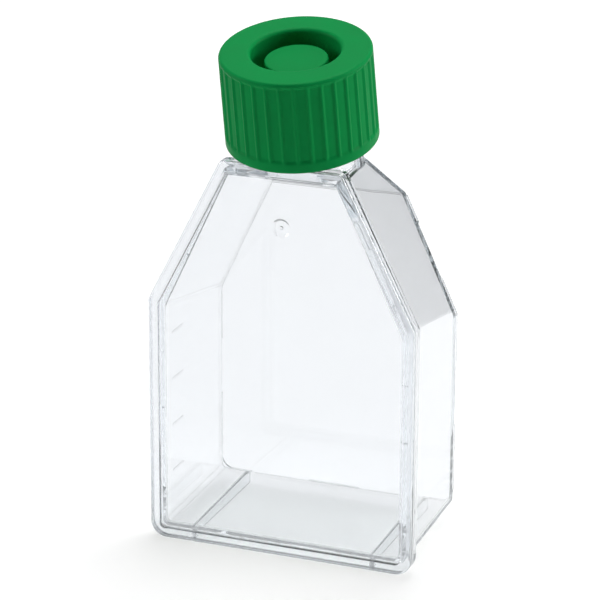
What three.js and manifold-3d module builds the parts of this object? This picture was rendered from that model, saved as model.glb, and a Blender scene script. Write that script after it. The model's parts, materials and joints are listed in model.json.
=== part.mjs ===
// Cell culture flask with a growth area of 25 square centimetres.
//
// A clear moulded tub carries the back wall that cells grow on, sloping shoulders, a neck that
// leans forwards and a flange round its open front. A clear plate with a raised rim is welded
// to that flange. A green cap with a plug seal screws onto the neck on a two-start thread and
// traps a thin sealing ring round its plug.
//
// Millimetres, +Z up. The flask stands on the foot of its flange and on two ribs. Sizes along Y
// are counted from the front of the plate's rim, and the finished group is centred on its box.

import * as THREE from "three";
import { mergeVertices } from "three/addons/utils/BufferGeometryUtils.js";
import Module from "manifold-3d";

const wasm = await Module();
wasm.setup();

const { cos, sin, tan, PI } = Math;
const degrees = THREE.MathUtils.degToRad;

// ---------------------------------------------------------------------------------------------
// Driving dimensions
// ---------------------------------------------------------------------------------------------

// Outline shared by the flange and the plate: straight sides, sloping shoulders, a flat top.
const WIDTH = 52.5;
const SIDE_HEIGHT = 47.8;
const FLANGE_HEIGHT = 76.1;
const FLANGE_TOP_WIDTH = 23.6;
const FOOT_RADIUS = 3.2;
const SHOULDER_RADIUS = 0.8;

// Front plate: a land that is welded to the flange, and a raised rim.
const PLATE_LAND = 1.7;
const RIM_WIDTH = 2.1;
const RIM_HEIGHT = 0.8;

// Mark left by the plate's gate: a shallow recess with a flat floor and a nub in its middle.
const GATE_HEIGHT = 64.5;
const GATE_RADIUS = 1.8;
const GATE_FLOOR_RADIUS = 1.3;
const GATE_DEPTH = 0.3;
const NUB_RADIUS = 0.3;
const NUB_HEIGHT = 0.25;

// Tub.
const FLANGE_THICKNESS = 1.6;
const FLANGE_LIP = 1.6;
const WALL = 1.2;
const BACK_WALL = 1.3;
const DEPTH = 30;
const BACK_HEIGHT = 64.7;
const BACK_SLOPE = degrees(38);
const BACK_EDGE_RADIUS = 0.5;
const TUB_FOOT_RADIUS = 1.5;
const SIDE_DRAFT = degrees(0.6);
const FLOOR_DRAFT = degrees(1.9);
const SHOULDER_DRAFT = degrees(8.2);
const SHOULDER_TWIST = degrees(2);

// Standing ribs under the floor.
const FOOT_RIB_SPACING = 36;
const FOOT_RIB_WIDTH = 1;
const FOOT_RIB_SETBACK = 0.4;

// Broken stacking ribs along the edge of the back wall.
const STACK_RIB_HEIGHT = 0.5;
const STACK_RIB_WIDTH = 0.8;
const STACK_RIB_INSET = 0.45;
const STACK_CROWN_LENGTH = 5.9;
const STACK_KNEE_ABOVE = 6.8;
const STACK_KNEE_BELOW = 11;
const STACK_CORNER_HEIGHT = 16.5;
const STACK_CORNER_WIDTH = 7;
const STACK_FLOOR_LENGTH = 10.2;

// Filling marks on the left wall.
const MARK_COUNT = 4;
const MARK_FIRST_HEIGHT = 11.7;
const MARK_PITCH = 9.3;
const MARK_LENGTH = 4.7;
const MARK_WIDTH = 0.4;
const MARK_RELIEF = 0.2;
const MARK_SETBACK = 2.7;

// Neck: it leans towards the plate, and its foot sinks into the shoulders.
const NECK_LEAN = degrees(12.4);
const NECK_SETBACK = 11.4;
const NECK_RADIUS = 10.9;
const BORE_RADIUS = 9.5;
const NECK_LENGTH = 15;
const NECK_SINK = 14.5;
const RIM_CHAMFER = 0.35;

// Two-start thread, right-handed. The ridges of the neck and of the cap have one section.
const THREAD_STARTS = 2;
const THREAD_LEAD = 6;
const THREAD_ROOT_WIDTH = 1.4;
const THREAD_CREST_WIDTH = 0.6;
const NECK_THREAD_DEPTH = 1;
const NECK_THREAD_TURNS = 1.3;
const NECK_THREAD_START = 3.9;
const CAP_THREAD_TURNS = 0.9;
const CAP_THREAD_START = 2.1;
const THREAD_CLEARANCE = 0.22;
const THREAD_RUN_OUT = degrees(22.5);

// Cap.
const CAP_RADIUS = 14.12;
const CAP_DRAFT = degrees(0.45);
const ROOF_THICKNESS = 1.45;
const CAP_CLEARANCE = 0.25;
const CAP_LIP_HEIGHT = 1.7;
const CAP_EDGE_RADIUS = 0.6;
const GRIP_RIBS = 34;
const GRIP_DEPTH = 0.35;
const GRIP_TURN = degrees(2.65);
const GRIP_FADE = 0.6;

// Plug seal and the ring groove that cores it out.
const PLUG_CLEARANCE = 0.15;
const PLUG_DEPTH = 4.6;
const PLUG_WALL = 1.15;
const DISC_RADIUS = 5.85;
const DISC_RECESS = 1.85;
const DISC_THICKNESS = 1.2;
const GROOVE_EDGE_RADIUS = 0.8;

// Sealing ring between the neck's rim and the roof of the cap.
const RING_THICKNESS = 0.8;
const RING_CLEARANCE = 0.3;

// Facets: steps of a full turn, of a rounded corner and of each ridge's turn.
const ROUND_STEPS = 48;
const CORNER_STEPS = 3;
const THREAD_STEPS = 36;

// ---------------------------------------------------------------------------------------------
// Derived places
// ---------------------------------------------------------------------------------------------

const FLANGE_FRONT = PLATE_LAND;
const FLANGE_BACK = FLANGE_FRONT + FLANGE_THICKNESS;
const TUB_TOP = FLANGE_HEIGHT - FLANGE_LIP;
const SKIRT_RADIUS = NECK_RADIUS + NECK_THREAD_DEPTH + THREAD_CLEARANCE;
const CAP_THREAD_DEPTH = SKIRT_RADIUS - NECK_RADIUS - THREAD_CLEARANCE;
const PLUG_RADIUS = BORE_RADIUS - PLUG_CLEARANCE;
const ROOF_UNDERSIDE = NECK_LENGTH + RING_THICKNESS + 2 * RING_CLEARANCE;
const CAP_HEIGHT = ROOF_UNDERSIDE + ROOF_THICKNESS;
const NECK_ORIGIN_Z = FLANGE_HEIGHT + CAP_CLEARANCE + NECK_SETBACK * tan(NECK_LEAN);

// Lean of the flange's shoulders from the vertical.
const SHOULDER_LEAN = Math.atan2((WIDTH - FLANGE_TOP_WIDTH) / 2, FLANGE_HEIGHT - SIDE_HEIGHT);

// An outline is kept as its half width, its floor height, its top height, and the lean of its
// shoulders with the distance of the shoulder's line from the origin along its normal.
const flangeOutline = {
  half: WIDTH / 2,
  floor: 0,
  top: FLANGE_HEIGHT,
  lean: SHOULDER_LEAN,
  shoulder: cos(SHOULDER_LEAN) * WIDTH / 2 + sin(SHOULDER_LEAN) * SIDE_HEIGHT,
};

// ---------------------------------------------------------------------------------------------
// Solids
// ---------------------------------------------------------------------------------------------

function signedVolume(position, index) {
  const [a, b, c] = [new THREE.Vector3(), new THREE.Vector3(), new THREE.Vector3()];
  let sum = 0;
  for (let i = 0; i < index.length; i += 3) {
    a.fromBufferAttribute(position, index[i]);
    b.fromBufferAttribute(position, index[i + 1]);
    c.fromBufferAttribute(position, index[i + 2]);
    sum += a.dot(b.cross(c));
  }
  return sum / 6;
}

// Turns a closed geometry into a solid: seams are merged, and faces are made to point outwards.
function toSolid(geometry) {
  const bare = new THREE.BufferGeometry();
  bare.setAttribute("position", geometry.getAttribute("position"));
  bare.setIndex(geometry.getIndex());
  const merged = mergeVertices(bare, 1e-4);
  const source = merged.getIndex().array;
  const index = [];
  for (let i = 0; i < source.length; i += 3) {
    const [a, b, c] = source.slice(i, i + 3);
    if (a !== b && b !== c && c !== a) index.push(a, b, c);
  }
  const position = merged.getAttribute("position");
  if (signedVolume(position, index) < 0) index.reverse();
  const vertProperties = new Float32Array(position.array);
  const triVerts = new Uint32Array(index);
  return new wasm.Manifold(new wasm.Mesh({ numProp: 3, vertProperties, triVerts }));
}

function fromSolid(solid) {
  const { vertProperties, triVerts } = solid.getMesh();
  const geometry = new THREE.BufferGeometry();
  geometry.setAttribute("position", new THREE.BufferAttribute(vertProperties, 3));
  geometry.setIndex(new THREE.BufferAttribute(triVerts, 1));
  return geometry;
}

function unite(solids) {
  return solids.reduce((whole, solid) => whole.add(solid));
}

// A box between two corners.
function block([x0, y0, z0], [x1, y1, z1]) {
  const box = new THREE.BoxGeometry(x1 - x0, y1 - y0, z1 - z0);
  box.translate((x0 + x1) / 2, (y0 + y1) / 2, (z0 + z1) / 2);
  return toSolid(box);
}

// A solid through a row of loops with equally many points, each end closed by a fan.
function loft(loops) {
  const count = loops[0].length;
  const points = loops.flat();
  const index = [];
  for (let row = 0; row + 1 < loops.length; row++) {
    for (let i = 0; i < count; i++) {
      const a = row * count + i;
      const b = row * count + (i + 1) % count;
      index.push(a, b, b + count, a, b + count, a + count);
    }
  }
  const addFan = (row, turn) => {
    const loop = loops[row];
    const centre = loop.reduce((sum, p) => sum.add(p), new THREE.Vector3()).divideScalar(count);
    const middle = points.push(centre) - 1;
    for (let i = 0; i < count; i++) {
      const a = row * count + i;
      const b = row * count + (i + 1) % count;
      index.push(middle, turn ? b : a, turn ? a : b);
    }
  };
  addFan(0, true);
  addFan(loops.length - 1, false);
  const geometry = new THREE.BufferGeometry().setFromPoints(points);
  geometry.setIndex(index);
  return toSolid(geometry);
}

// A solid of revolution about Z from [radius, height] points.
function revolve(profile) {
  const points = profile.map(([radius, height]) => new THREE.Vector2(radius, height));
  const geometry = new THREE.LatheGeometry(points, ROUND_STEPS);
  geometry.rotateX(PI / 2);
  return toSolid(geometry);
}

// Points of a quarter round from one end to the other, as [radius, height] pairs.
function quarterRound(centreRadius, centreHeight, radius, from) {
  return Array.from({ length: CORNER_STEPS + 1 }, (_, i) => {
    const angle = from + (i / CORNER_STEPS) * (PI / 2);
    return [centreRadius + radius * cos(angle), centreHeight + radius * sin(angle)];
  });
}

// ---------------------------------------------------------------------------------------------
// Outline of flange, plate and tub
// ---------------------------------------------------------------------------------------------

function insetOutline(outline, inset) {
  return {
    half: outline.half - inset,
    floor: outline.floor + inset,
    top: outline.top - inset,
    lean: outline.lean,
    shoulder: outline.shoulder - inset,
  };
}

// The tub's outline at a depth, drawn in by an inset that follows each wall's own slope. Its
// shoulders stand a little steeper at the back.
function tubOutline(y, inset) {
  const run = y - FLANGE_BACK;
  const outline = insetOutline(flangeOutline, FLANGE_LIP + inset);
  const slope = BACK_HEIGHT + (DEPTH - y) * tan(BACK_SLOPE) - inset / cos(BACK_SLOPE);
  return {
    half: outline.half - run * tan(SIDE_DRAFT),
    floor: outline.floor + run * tan(FLOOR_DRAFT),
    top: Math.min(outline.top, slope),
    lean: outline.lean - run / (DEPTH - FLANGE_BACK) * SHOULDER_TWIST,
    shoulder: outline.shoulder - run * tan(SHOULDER_DRAFT),
  };
}

const kneeHeight = ({ half, lean, shoulder }) => (shoulder - cos(lean) * half) / sin(lean);
const crownHalf = ({ top, lean, shoulder }) => (shoulder - sin(lean) * top) / cos(lean);

// A corner's rounding as points, walked anticlockwise.
function roundCorner(before, corner, after, radius) {
  const toBefore = before.clone().sub(corner).normalize();
  const toAfter = after.clone().sub(corner).normalize();
  const half = Math.acos(toBefore.dot(toAfter)) / 2;
  const inwards = toBefore.add(toAfter).normalize();
  const centre = corner.clone().addScaledVector(inwards, radius / sin(half));
  const middle = inwards.negate().angle();
  const sweep = PI - 2 * half;
  return Array.from({ length: CORNER_STEPS + 1 }, (_, i) => {
    const angle = middle + (i / CORNER_STEPS - 0.5) * sweep;
    return new THREE.Vector2(cos(angle), sin(angle)).multiplyScalar(radius).add(centre);
  });
}

// The outline's loop of points at a depth, with its foot corners rounded more than the others.
function outlineLoop(outline, y, footRadius, shoulderRadius) {
  const knee = kneeHeight(outline);
  const crown = crownHalf(outline);
  const right = [
    { x: outline.half, z: outline.floor, radius: footRadius },
    { x: outline.half, z: knee, radius: shoulderRadius },
    { x: crown, z: outline.top, radius: shoulderRadius },
  ];
  const left = right.map(({ x, z, radius }) => ({ x: -x, z, radius })).reverse();
  const corners = [...right, ...left];
  const at = (i) => {
    const { x, z } = corners[(i + corners.length) % corners.length];
    return new THREE.Vector2(x, z);
  };
  const rounded = corners.flatMap(({ radius }, i) =>
    roundCorner(at(i - 1), at(i), at(i + 1), radius));
  return rounded.map((p) => new THREE.Vector3(p.x, y, p.y));
}

// A flat slab with the outline, between two depths.
function slab(outline, y0, y1, footRadius) {
  const loops = [y0, y1].map((y) => outlineLoop(outline, y, footRadius, SHOULDER_RADIUS));
  return loft(loops);
}

// ---------------------------------------------------------------------------------------------
// Tub
// ---------------------------------------------------------------------------------------------

// The tub's outside or inside: drafted walls, the sloped back corner and a rounded back edge.
function tubForm(inset, front, back) {
  const edge = Math.max(BACK_EDGE_RADIUS - inset, SHOULDER_RADIUS / 2);
  const foot = TUB_FOOT_RADIUS - inset / 2;
  const rise = TUB_TOP - BACK_HEIGHT + inset * (1 / cos(BACK_SLOPE) - 1);
  const slopeStart = DEPTH - rise / tan(BACK_SLOPE);
  const straight = [front, slopeStart, back - edge].map((y) => ({ y, draw: 0 }));
  const rounded = quarterRound(0, 0, edge, 0).slice(1).map(([reach, height]) => ({
    y: back - edge + height,
    draw: edge - reach,
  }));
  const stations = [...straight, ...rounded];
  return loft(stations.map(({ y, draw }) => {
    const outline = insetOutline(tubOutline(y, inset), draw);
    return outlineLoop(outline, y, foot - draw, SHOULDER_RADIUS);
  }));
}

function standingRibs() {
  const back = DEPTH - FOOT_RIB_SETBACK;
  const top = tubOutline(DEPTH, 0).floor + WALL / 2;
  return [-1, 1].map((side) => {
    const x = side * FOOT_RIB_SPACING / 2;
    return block([x - FOOT_RIB_WIDTH / 2, FLANGE_FRONT, 0], [x + FOOT_RIB_WIDTH / 2, back, top]);
  });
}

// A low ring along the edge of the back wall, kept only where it crosses the given windows.
function stackingRibs() {
  const outline = tubOutline(DEPTH, STACK_RIB_INSET);
  const [front, back] = [DEPTH - BACK_WALL / 2, DEPTH + STACK_RIB_HEIGHT];
  const outer = slab(outline, front, back, FOOT_RADIUS);
  const inner = slab(insetOutline(outline, STACK_RIB_WIDTH), front - 1, back + 1,
    FOOT_RADIUS - STACK_RIB_WIDTH);
  const knee = kneeHeight(outline);
  const { half, floor, top } = outline;
  const reach = half + 1;
  const across = (x0, x1, z0, z1) => block([x0, front, z0], [x1, back + 1, z1]);
  const windows = [
    across(-reach, reach, top - STACK_CROWN_LENGTH, top - STACK_RIB_WIDTH),
    across(-reach, reach, knee - STACK_KNEE_BELOW, knee + STACK_KNEE_ABOVE),
    across(-reach, STACK_CORNER_WIDTH - half, floor - 1, floor + STACK_CORNER_HEIGHT),
    across(half - STACK_CORNER_WIDTH, reach, floor - 1, floor + STACK_CORNER_HEIGHT),
    across(-STACK_FLOOR_LENGTH / 2, STACK_FLOOR_LENGTH / 2, floor - 1, floor + STACK_CORNER_WIDTH),
  ];
  return outer.subtract(inner).intersect(unite(windows));
}

function fillingMarks() {
  return Array.from({ length: MARK_COUNT }, (_, i) => {
    const z = MARK_FIRST_HEIGHT + i * MARK_PITCH;
    const front = FLANGE_BACK + MARK_SETBACK;
    const wall = -tubOutline(front + MARK_LENGTH, 0).half;
    return block(
      [wall - MARK_RELIEF, front, z - MARK_WIDTH / 2],
      [wall + WALL / 2, front + MARK_LENGTH, z + MARK_WIDTH / 2],
    );
  });
}

// ---------------------------------------------------------------------------------------------
// Neck and thread
// ---------------------------------------------------------------------------------------------

// Places what is made about Z at the neck: its origin lies level with the foot of the cap.
function placeNeckFrame(object) {
  object.position.set(0, NECK_SETBACK, NECK_ORIGIN_Z);
  object.rotation.set(NECK_LEAN, 0, 0);
  object.updateMatrix();
  return object;
}

function ontoNeck(solid) {
  const geometry = fromSolid(solid);
  geometry.applyMatrix4(placeNeckFrame(new THREE.Object3D()).matrix);
  return toSolid(geometry);
}

// One ridge of the thread. Its foot is buried in the wall at footRadius, its crest stands at
// crestRadius, and at both ends the crest sinks below the wall.
function threadRidge({ wallRadius, crestRadius, start, turns, phase }) {
  const outwards = Math.sign(crestRadius - wallRadius);
  const footRadius = wallRadius - outwards * WALL / 3;
  const sunkRadius = wallRadius - outwards * WALL / 6;
  const count = Math.round(turns * THREAD_STEPS);
  const runOut = THREAD_RUN_OUT / (2 * PI) * THREAD_STEPS;
  const loops = Array.from({ length: count + 1 }, (_, i) => {
    const full = Math.min(1, Math.min(i, count - i) / runOut);
    const crest = THREE.MathUtils.lerp(sunkRadius, crestRadius, full);
    const turn = i / THREAD_STEPS;
    const angle = turn * 2 * PI + phase;
    const height = start + turn * THREAD_LEAD;
    const section = [
      [footRadius, -THREAD_ROOT_WIDTH / 2],
      [crest, -THREAD_CREST_WIDTH / 2],
      [crest, THREAD_CREST_WIDTH / 2],
      [footRadius, THREAD_ROOT_WIDTH / 2],
    ];
    return section.map(([radius, offset]) =>
      new THREE.Vector3(radius * cos(angle), radius * sin(angle), height + offset));
  });
  return loft(loops);
}

function threadRidges(ridge) {
  return Array.from({ length: THREAD_STARTS }, (_, i) =>
    threadRidge({ ...ridge, phase: ridge.phase + i * 2 * PI / THREAD_STARTS }));
}

function neckWall() {
  const tube = revolve([
    [0, -NECK_SINK],
    [NECK_RADIUS, -NECK_SINK],
    [NECK_RADIUS, NECK_LENGTH - RIM_CHAMFER],
    [NECK_RADIUS - RIM_CHAMFER, NECK_LENGTH],
    [0, NECK_LENGTH],
  ]);
  const ridges = threadRidges({
    wallRadius: NECK_RADIUS,
    crestRadius: NECK_RADIUS + NECK_THREAD_DEPTH,
    start: NECK_THREAD_START,
    turns: NECK_THREAD_TURNS,
    phase: 0,
  });
  return ontoNeck(unite([tube, ...ridges]));
}

function neckBore() {
  const past = NECK_LENGTH + 1;
  return ontoNeck(revolve([
    [0, 1 - NECK_SINK],
    [BORE_RADIUS, 1 - NECK_SINK],
    [BORE_RADIUS, NECK_LENGTH - RIM_CHAMFER],
    [BORE_RADIUS + RIM_CHAMFER, NECK_LENGTH],
    [BORE_RADIUS + RIM_CHAMFER, past],
    [0, past],
  ]));
}

// The space in front of the flange that the plate fills, with clearance above its top edge.
function plateSpace() {
  const top = FLANGE_HEIGHT + CAP_CLEARANCE;
  return block([-WIDTH, -WIDTH, -1], [WIDTH, FLANGE_FRONT, top]);
}

function buildFlaskBody() {
  const flange = slab(flangeOutline, FLANGE_FRONT, FLANGE_BACK, FOOT_RADIUS);
  const outside = unite([
    tubForm(0, FLANGE_FRONT, DEPTH),
    flange,
    ...standingRibs(),
    stackingRibs(),
    ...fillingMarks(),
    neckWall().subtract(plateSpace()),
  ]);
  const inside = tubForm(WALL, FLANGE_FRONT - 1, DEPTH - BACK_WALL).add(neckBore());
  return outside.subtract(inside);
}

// ---------------------------------------------------------------------------------------------
// Front plate
// ---------------------------------------------------------------------------------------------

// Moves what is made about Z to the gate's place on the web, its height towards the front.
function ontoWeb(solid) {
  const geometry = fromSolid(solid);
  geometry.rotateX(PI / 2);
  geometry.translate(0, RIM_HEIGHT, GATE_HEIGHT);
  return toSolid(geometry);
}

function gateRecess() {
  return ontoWeb(revolve([
    [0, -GATE_DEPTH],
    [GATE_FLOOR_RADIUS, -GATE_DEPTH],
    [GATE_RADIUS, 0],
    [GATE_RADIUS, RIM_HEIGHT],
    [0, RIM_HEIGHT],
  ]));
}

function gateNub() {
  const foot = -GATE_DEPTH - NUB_HEIGHT;
  const tip = NUB_HEIGHT - GATE_DEPTH;
  return ontoWeb(revolve([
    [0, foot],
    [NUB_RADIUS, foot],
    [NUB_RADIUS, tip - NUB_RADIUS / 2],
    [NUB_RADIUS / 2, tip],
    [0, tip],
  ]));
}

function buildFrontPlate() {
  const land = slab(flangeOutline, 0, PLATE_LAND, FOOT_RADIUS);
  const recess = slab(insetOutline(flangeOutline, RIM_WIDTH), -1, RIM_HEIGHT,
    FOOT_RADIUS - RIM_WIDTH);
  return land.subtract(recess).subtract(gateRecess()).add(gateNub());
}

// ---------------------------------------------------------------------------------------------
// Cap and sealing ring
// ---------------------------------------------------------------------------------------------

// One loop of the cap's outside: four points to a rib, with the valleys drawn in by a depth.
function gripLoop(radius, depth, height) {
  const ribPoints = [[-0.08, 0], [0.08, 0], [0.25, 1], [0.75, 1]];
  return Array.from({ length: GRIP_RIBS }, (_, rib) => ribPoints.map(([share, valley]) => {
    const angle = (rib + share) / GRIP_RIBS * 2 * PI + GRIP_TURN;
    const reach = radius - valley * depth;
    return new THREE.Vector3(reach * cos(angle), reach * sin(angle), height);
  })).flat();
}

// The skirt narrows from foot to top, so that the cap leaves its mould.
function skirtLoop(depth, height) {
  return gripLoop(CAP_RADIUS - height * tan(CAP_DRAFT), depth, height);
}

function capOutside() {
  const ribTop = CAP_HEIGHT - CAP_EDGE_RADIUS;
  const lipRound = GRIP_FADE / 2;
  const topRadius = CAP_RADIUS - CAP_HEIGHT * tan(CAP_DRAFT);
  const edge = quarterRound(topRadius - CAP_EDGE_RADIUS, ribTop, CAP_EDGE_RADIUS, 0);
  return loft([
    gripLoop(CAP_RADIUS - lipRound, 0, 0),
    skirtLoop(0, lipRound),
    skirtLoop(0, CAP_LIP_HEIGHT),
    skirtLoop(GRIP_DEPTH, CAP_LIP_HEIGHT + GRIP_FADE),
    skirtLoop(GRIP_DEPTH, ribTop - GRIP_FADE),
    ...edge.map(([radius, height]) => gripLoop(radius, 0, height)),
  ]);
}

// The hollow of the cap: skirt, roof, plug and the hollow under the plug's disc.
function capHollow() {
  const plugFoot = NECK_LENGTH - PLUG_DEPTH;
  const discUnderside = CAP_HEIGHT - DISC_RECESS - DISC_THICKNESS;
  const coreRadius = DISC_RADIUS - PLUG_WALL;
  return revolve([
    [0, -1],
    [SKIRT_RADIUS + RIM_CHAMFER, -1],
    [SKIRT_RADIUS + RIM_CHAMFER, 0],
    [SKIRT_RADIUS, RIM_CHAMFER],
    [SKIRT_RADIUS, ROOF_UNDERSIDE],
    [PLUG_RADIUS, ROOF_UNDERSIDE],
    [PLUG_RADIUS, plugFoot + 2 * RIM_CHAMFER],
    [PLUG_RADIUS - RIM_CHAMFER, plugFoot],
    [coreRadius, plugFoot],
    [coreRadius, discUnderside],
    [0, discUnderside],
  ]);
}

// The ring groove and the recess over the disc, open to the top.
function capGroove() {
  const outer = PLUG_RADIUS - PLUG_WALL;
  const floor = NECK_LENGTH - PLUG_DEPTH + PLUG_WALL;
  const discTop = CAP_HEIGHT - DISC_RECESS;
  const mouth = quarterRound(outer + GROOVE_EDGE_RADIUS, CAP_HEIGHT - GROOVE_EDGE_RADIUS,
    GROOVE_EDGE_RADIUS, PI / 2).reverse();
  const past = CAP_HEIGHT + 1;
  return revolve([
    [0, discTop],
    [DISC_RADIUS - RIM_CHAMFER, discTop],
    [DISC_RADIUS, discTop - RIM_CHAMFER],
    [DISC_RADIUS, floor],
    [outer, floor],
    ...mouth,
    [outer + GROOVE_EDGE_RADIUS, past],
    [0, past],
  ]);
}

function buildScrewCap() {
  const ridges = threadRidges({
    wallRadius: SKIRT_RADIUS,
    crestRadius: SKIRT_RADIUS - CAP_THREAD_DEPTH,
    start: CAP_THREAD_START,
    turns: CAP_THREAD_TURNS,
    phase: PI / THREAD_STARTS + (CAP_THREAD_START - NECK_THREAD_START) / THREAD_LEAD * 2 * PI,
  });
  const shell = capOutside().subtract(capHollow()).subtract(capGroove());
  return unite([shell, ...ridges]);
}

function buildSealingRing() {
  const inner = PLUG_RADIUS + RING_CLEARANCE;
  const outer = SKIRT_RADIUS - RING_CLEARANCE;
  const foot = NECK_LENGTH + RING_CLEARANCE;
  const top = foot + RING_THICKNESS;
  return revolve([[inner, foot], [outer, foot], [outer, top], [inner, top], [inner, foot]]);
}

// ---------------------------------------------------------------------------------------------
// Assembly
// ---------------------------------------------------------------------------------------------

function namedMesh(name, solid, material) {
  const mesh = new THREE.Mesh(fromSolid(solid), material);
  mesh.name = name;
  return mesh;
}

function clearPlastic() {
  return new THREE.MeshStandardMaterial({
    color: 0xe9f1f3,
    roughness: 0.05,
    metalness: 0,
    transparent: true,
    opacity: 0.3,
  });
}

function buildFlask() {
  const green = new THREE.MeshStandardMaterial({ color: 0x15934a, roughness: 0.45, metalness: 0 });
  const white = new THREE.MeshStandardMaterial({ color: 0xeeeeea, roughness: 0.6, metalness: 0 });
  const closure = placeNeckFrame(new THREE.Group());
  closure.add(
    namedMesh("sealing_ring", buildSealingRing(), white),
    namedMesh("screw_cap", buildScrewCap(), green),
  );
  const flask = new THREE.Group();
  flask.add(
    namedMesh("flask_body", buildFlaskBody(), clearPlastic()),
    namedMesh("front_plate", buildFrontPlate(), clearPlastic()),
    closure,
  );
  const box = new THREE.Box3().setFromObject(flask, true);
  flask.position.y = -(box.min.y + box.max.y) / 2;
  return flask;
}

export default buildFlask();
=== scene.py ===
"""Looks of the cell culture flask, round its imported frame.

The clear tub, the welded plate, the green cap and the sealing ring are modelled in millimetres,
brought to metres when they are finished, and ride on the bodies of the frame.
"""

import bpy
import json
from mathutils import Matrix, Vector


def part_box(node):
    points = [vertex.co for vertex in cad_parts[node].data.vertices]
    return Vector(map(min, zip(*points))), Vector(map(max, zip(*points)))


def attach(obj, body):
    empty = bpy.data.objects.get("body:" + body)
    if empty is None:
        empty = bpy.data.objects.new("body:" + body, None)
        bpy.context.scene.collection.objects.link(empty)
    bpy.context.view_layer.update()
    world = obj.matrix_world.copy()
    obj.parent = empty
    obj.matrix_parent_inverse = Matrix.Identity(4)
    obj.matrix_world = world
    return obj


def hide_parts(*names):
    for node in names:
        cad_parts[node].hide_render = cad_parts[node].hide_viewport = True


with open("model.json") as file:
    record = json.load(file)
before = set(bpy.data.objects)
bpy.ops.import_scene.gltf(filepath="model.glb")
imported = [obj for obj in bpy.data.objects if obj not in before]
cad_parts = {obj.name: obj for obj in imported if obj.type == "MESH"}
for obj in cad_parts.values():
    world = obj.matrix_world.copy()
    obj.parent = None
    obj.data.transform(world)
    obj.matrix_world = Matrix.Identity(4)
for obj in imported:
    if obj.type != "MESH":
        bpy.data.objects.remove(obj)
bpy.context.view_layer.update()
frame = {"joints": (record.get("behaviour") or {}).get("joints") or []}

import json
import math
from collections import namedtuple
from itertools import pairwise
from types import SimpleNamespace

import bmesh
import bpy
from mathutils import Matrix, Vector

bl_info = {
    "name": "Cell culture flask",
    "version": (1, 0, 0),
    "blender": (4, 5, 0),
    "location": "3D View > Sidebar > Flask",
    "description": "Models a clear cell culture flask with a green screw cap",
    "category": "Mesh",
}

MM = 0.001


def frame_box(node):
    """Lowest and highest corner of a node of the frame, in millimetres."""
    low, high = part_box(node)
    return low / MM, high / MM


PLATE_LOW, PLATE_HIGH = frame_box("front_plate")
WIDTH = PLATE_HIGH.x - PLATE_LOW.x
FRONT = PLATE_LOW.y
CAP_TURN = next(joint for joint in frame["joints"] if joint["name"] == "cap_turn")
NECK_FOOT = Vector(CAP_TURN["pos_m"]) / MM
NECK_LEAN = math.asin(-CAP_TURN["axis"][1])
# How much the tub's walls draw in towards the back.
DRAFTS = SimpleNamespace(
    side=math.radians(0.6), floor=math.radians(1.9), shoulder=math.radians(8.2))
# Top of the flange to the foot of the cap.
CAP_CLEARANCE = 0.25
# Filling marks on the left wall.
MARKS = 4

# Vertices this near to each other, vertices this near to a cut, and levels count as one.
MERGED = 1e-4
ON_CUT = 1e-5
SAME_LEVEL = 0.01
# How far a cutting form reaches past a face, and how deep a joined form is sunk.
PAST = 1
SUNK = 0.5
# Faces of one curve meet at less than the first, sides and shoulders at less than the second.
SMOOTH_TURN = math.radians(15)
KNEE_TURN = math.radians(32)
# Least rounding of the tub's edges, and columns of a smooth round form.
LEAST_RADIUS = 0.2
COLUMNS = 128


# ---- Settings ----


def length(name, millimetres, description):
    """A length setting, given in millimetres and kept in metres."""
    return bpy.props.FloatProperty(
        name=name, description=description, default=millimetres * MM, min=0, unit="LENGTH",
        precision=5)


def angle(name, degrees, description):
    return bpy.props.FloatProperty(
        name=name, description=description, default=math.radians(degrees), unit="ROTATION")


def share(name, value, description):
    return bpy.props.FloatProperty(
        name=name, description=description, default=value, min=0, max=1, subtype="FACTOR")


def plain(name, value, description):
    return bpy.props.FloatProperty(name=name, description=description, default=value, min=0)


def count(name, value, description):
    return bpy.props.IntProperty(name=name, description=description, default=value, min=1)


def colour(name, value, description):
    return bpy.props.FloatVectorProperty(
        name=name, description=description, default=value, size=3, min=0, max=1,
        subtype="COLOR")


class FlaskOutline(bpy.types.PropertyGroup):
    side_height: length("Side height", 47.8, "Straight sides, from the foot to the shoulder")
    height: length("Flange height", PLATE_HIGH.z, "Foot to the flat top of the flange")
    top_width: length("Top width", 23.6, "Flat top between the shoulders")
    foot_radius: length("Foot radius", 3.2, "Rounding of the two foot corners")
    corner_radius: length("Corner radius", 0.8, "Rounding of the shoulder corners")


class FlaskTub(bpy.types.PropertyGroup):
    flange_front: length("Flange front", 1.7, "Front of the rim to the flange")
    flange_back: length("Flange back", 3.3, "Front of the rim to the back of the flange")
    flange_lip: length("Flange lip", 1.6, "How far the flange stands out from the walls")
    wall: length("Wall", 1.2, "Thickness of the side walls")
    back_wall: length("Back wall", 1.3, "Thickness of the back wall")
    depth: length("Depth", 30, "Front of the rim to the back wall's outer face")
    back_height: length("Back height", 64.7, "Height of the back wall")
    back_slope: angle("Back slope", 38, "Slope of the corner between the top and the back wall")
    twist: angle("Twist", 2, "How much steeper the shoulders stand at the back than in front")
    foot_radius: length("Foot radius", 1.5, "Rounding of the tub's two foot corners")
    back_radius: length("Back radius", 0.2, "Rounding round the back wall")
    edge_radius: length("Edge radius", 0.6, "Rounding of the tub's other edges")
    knee_radius: length("Knee radius", 4, "Rounding where the sides turn into the shoulders")
    lip_radius: length("Lip radius", 0.25, "Rounding of the flange's back edge")
    seam_radius: length("Seam radius", 0.1, "Rounding of flange and plate at the weld")
    weld_gap: length("Weld gap", 0.02, "Seam between the flange and the plate")


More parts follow.
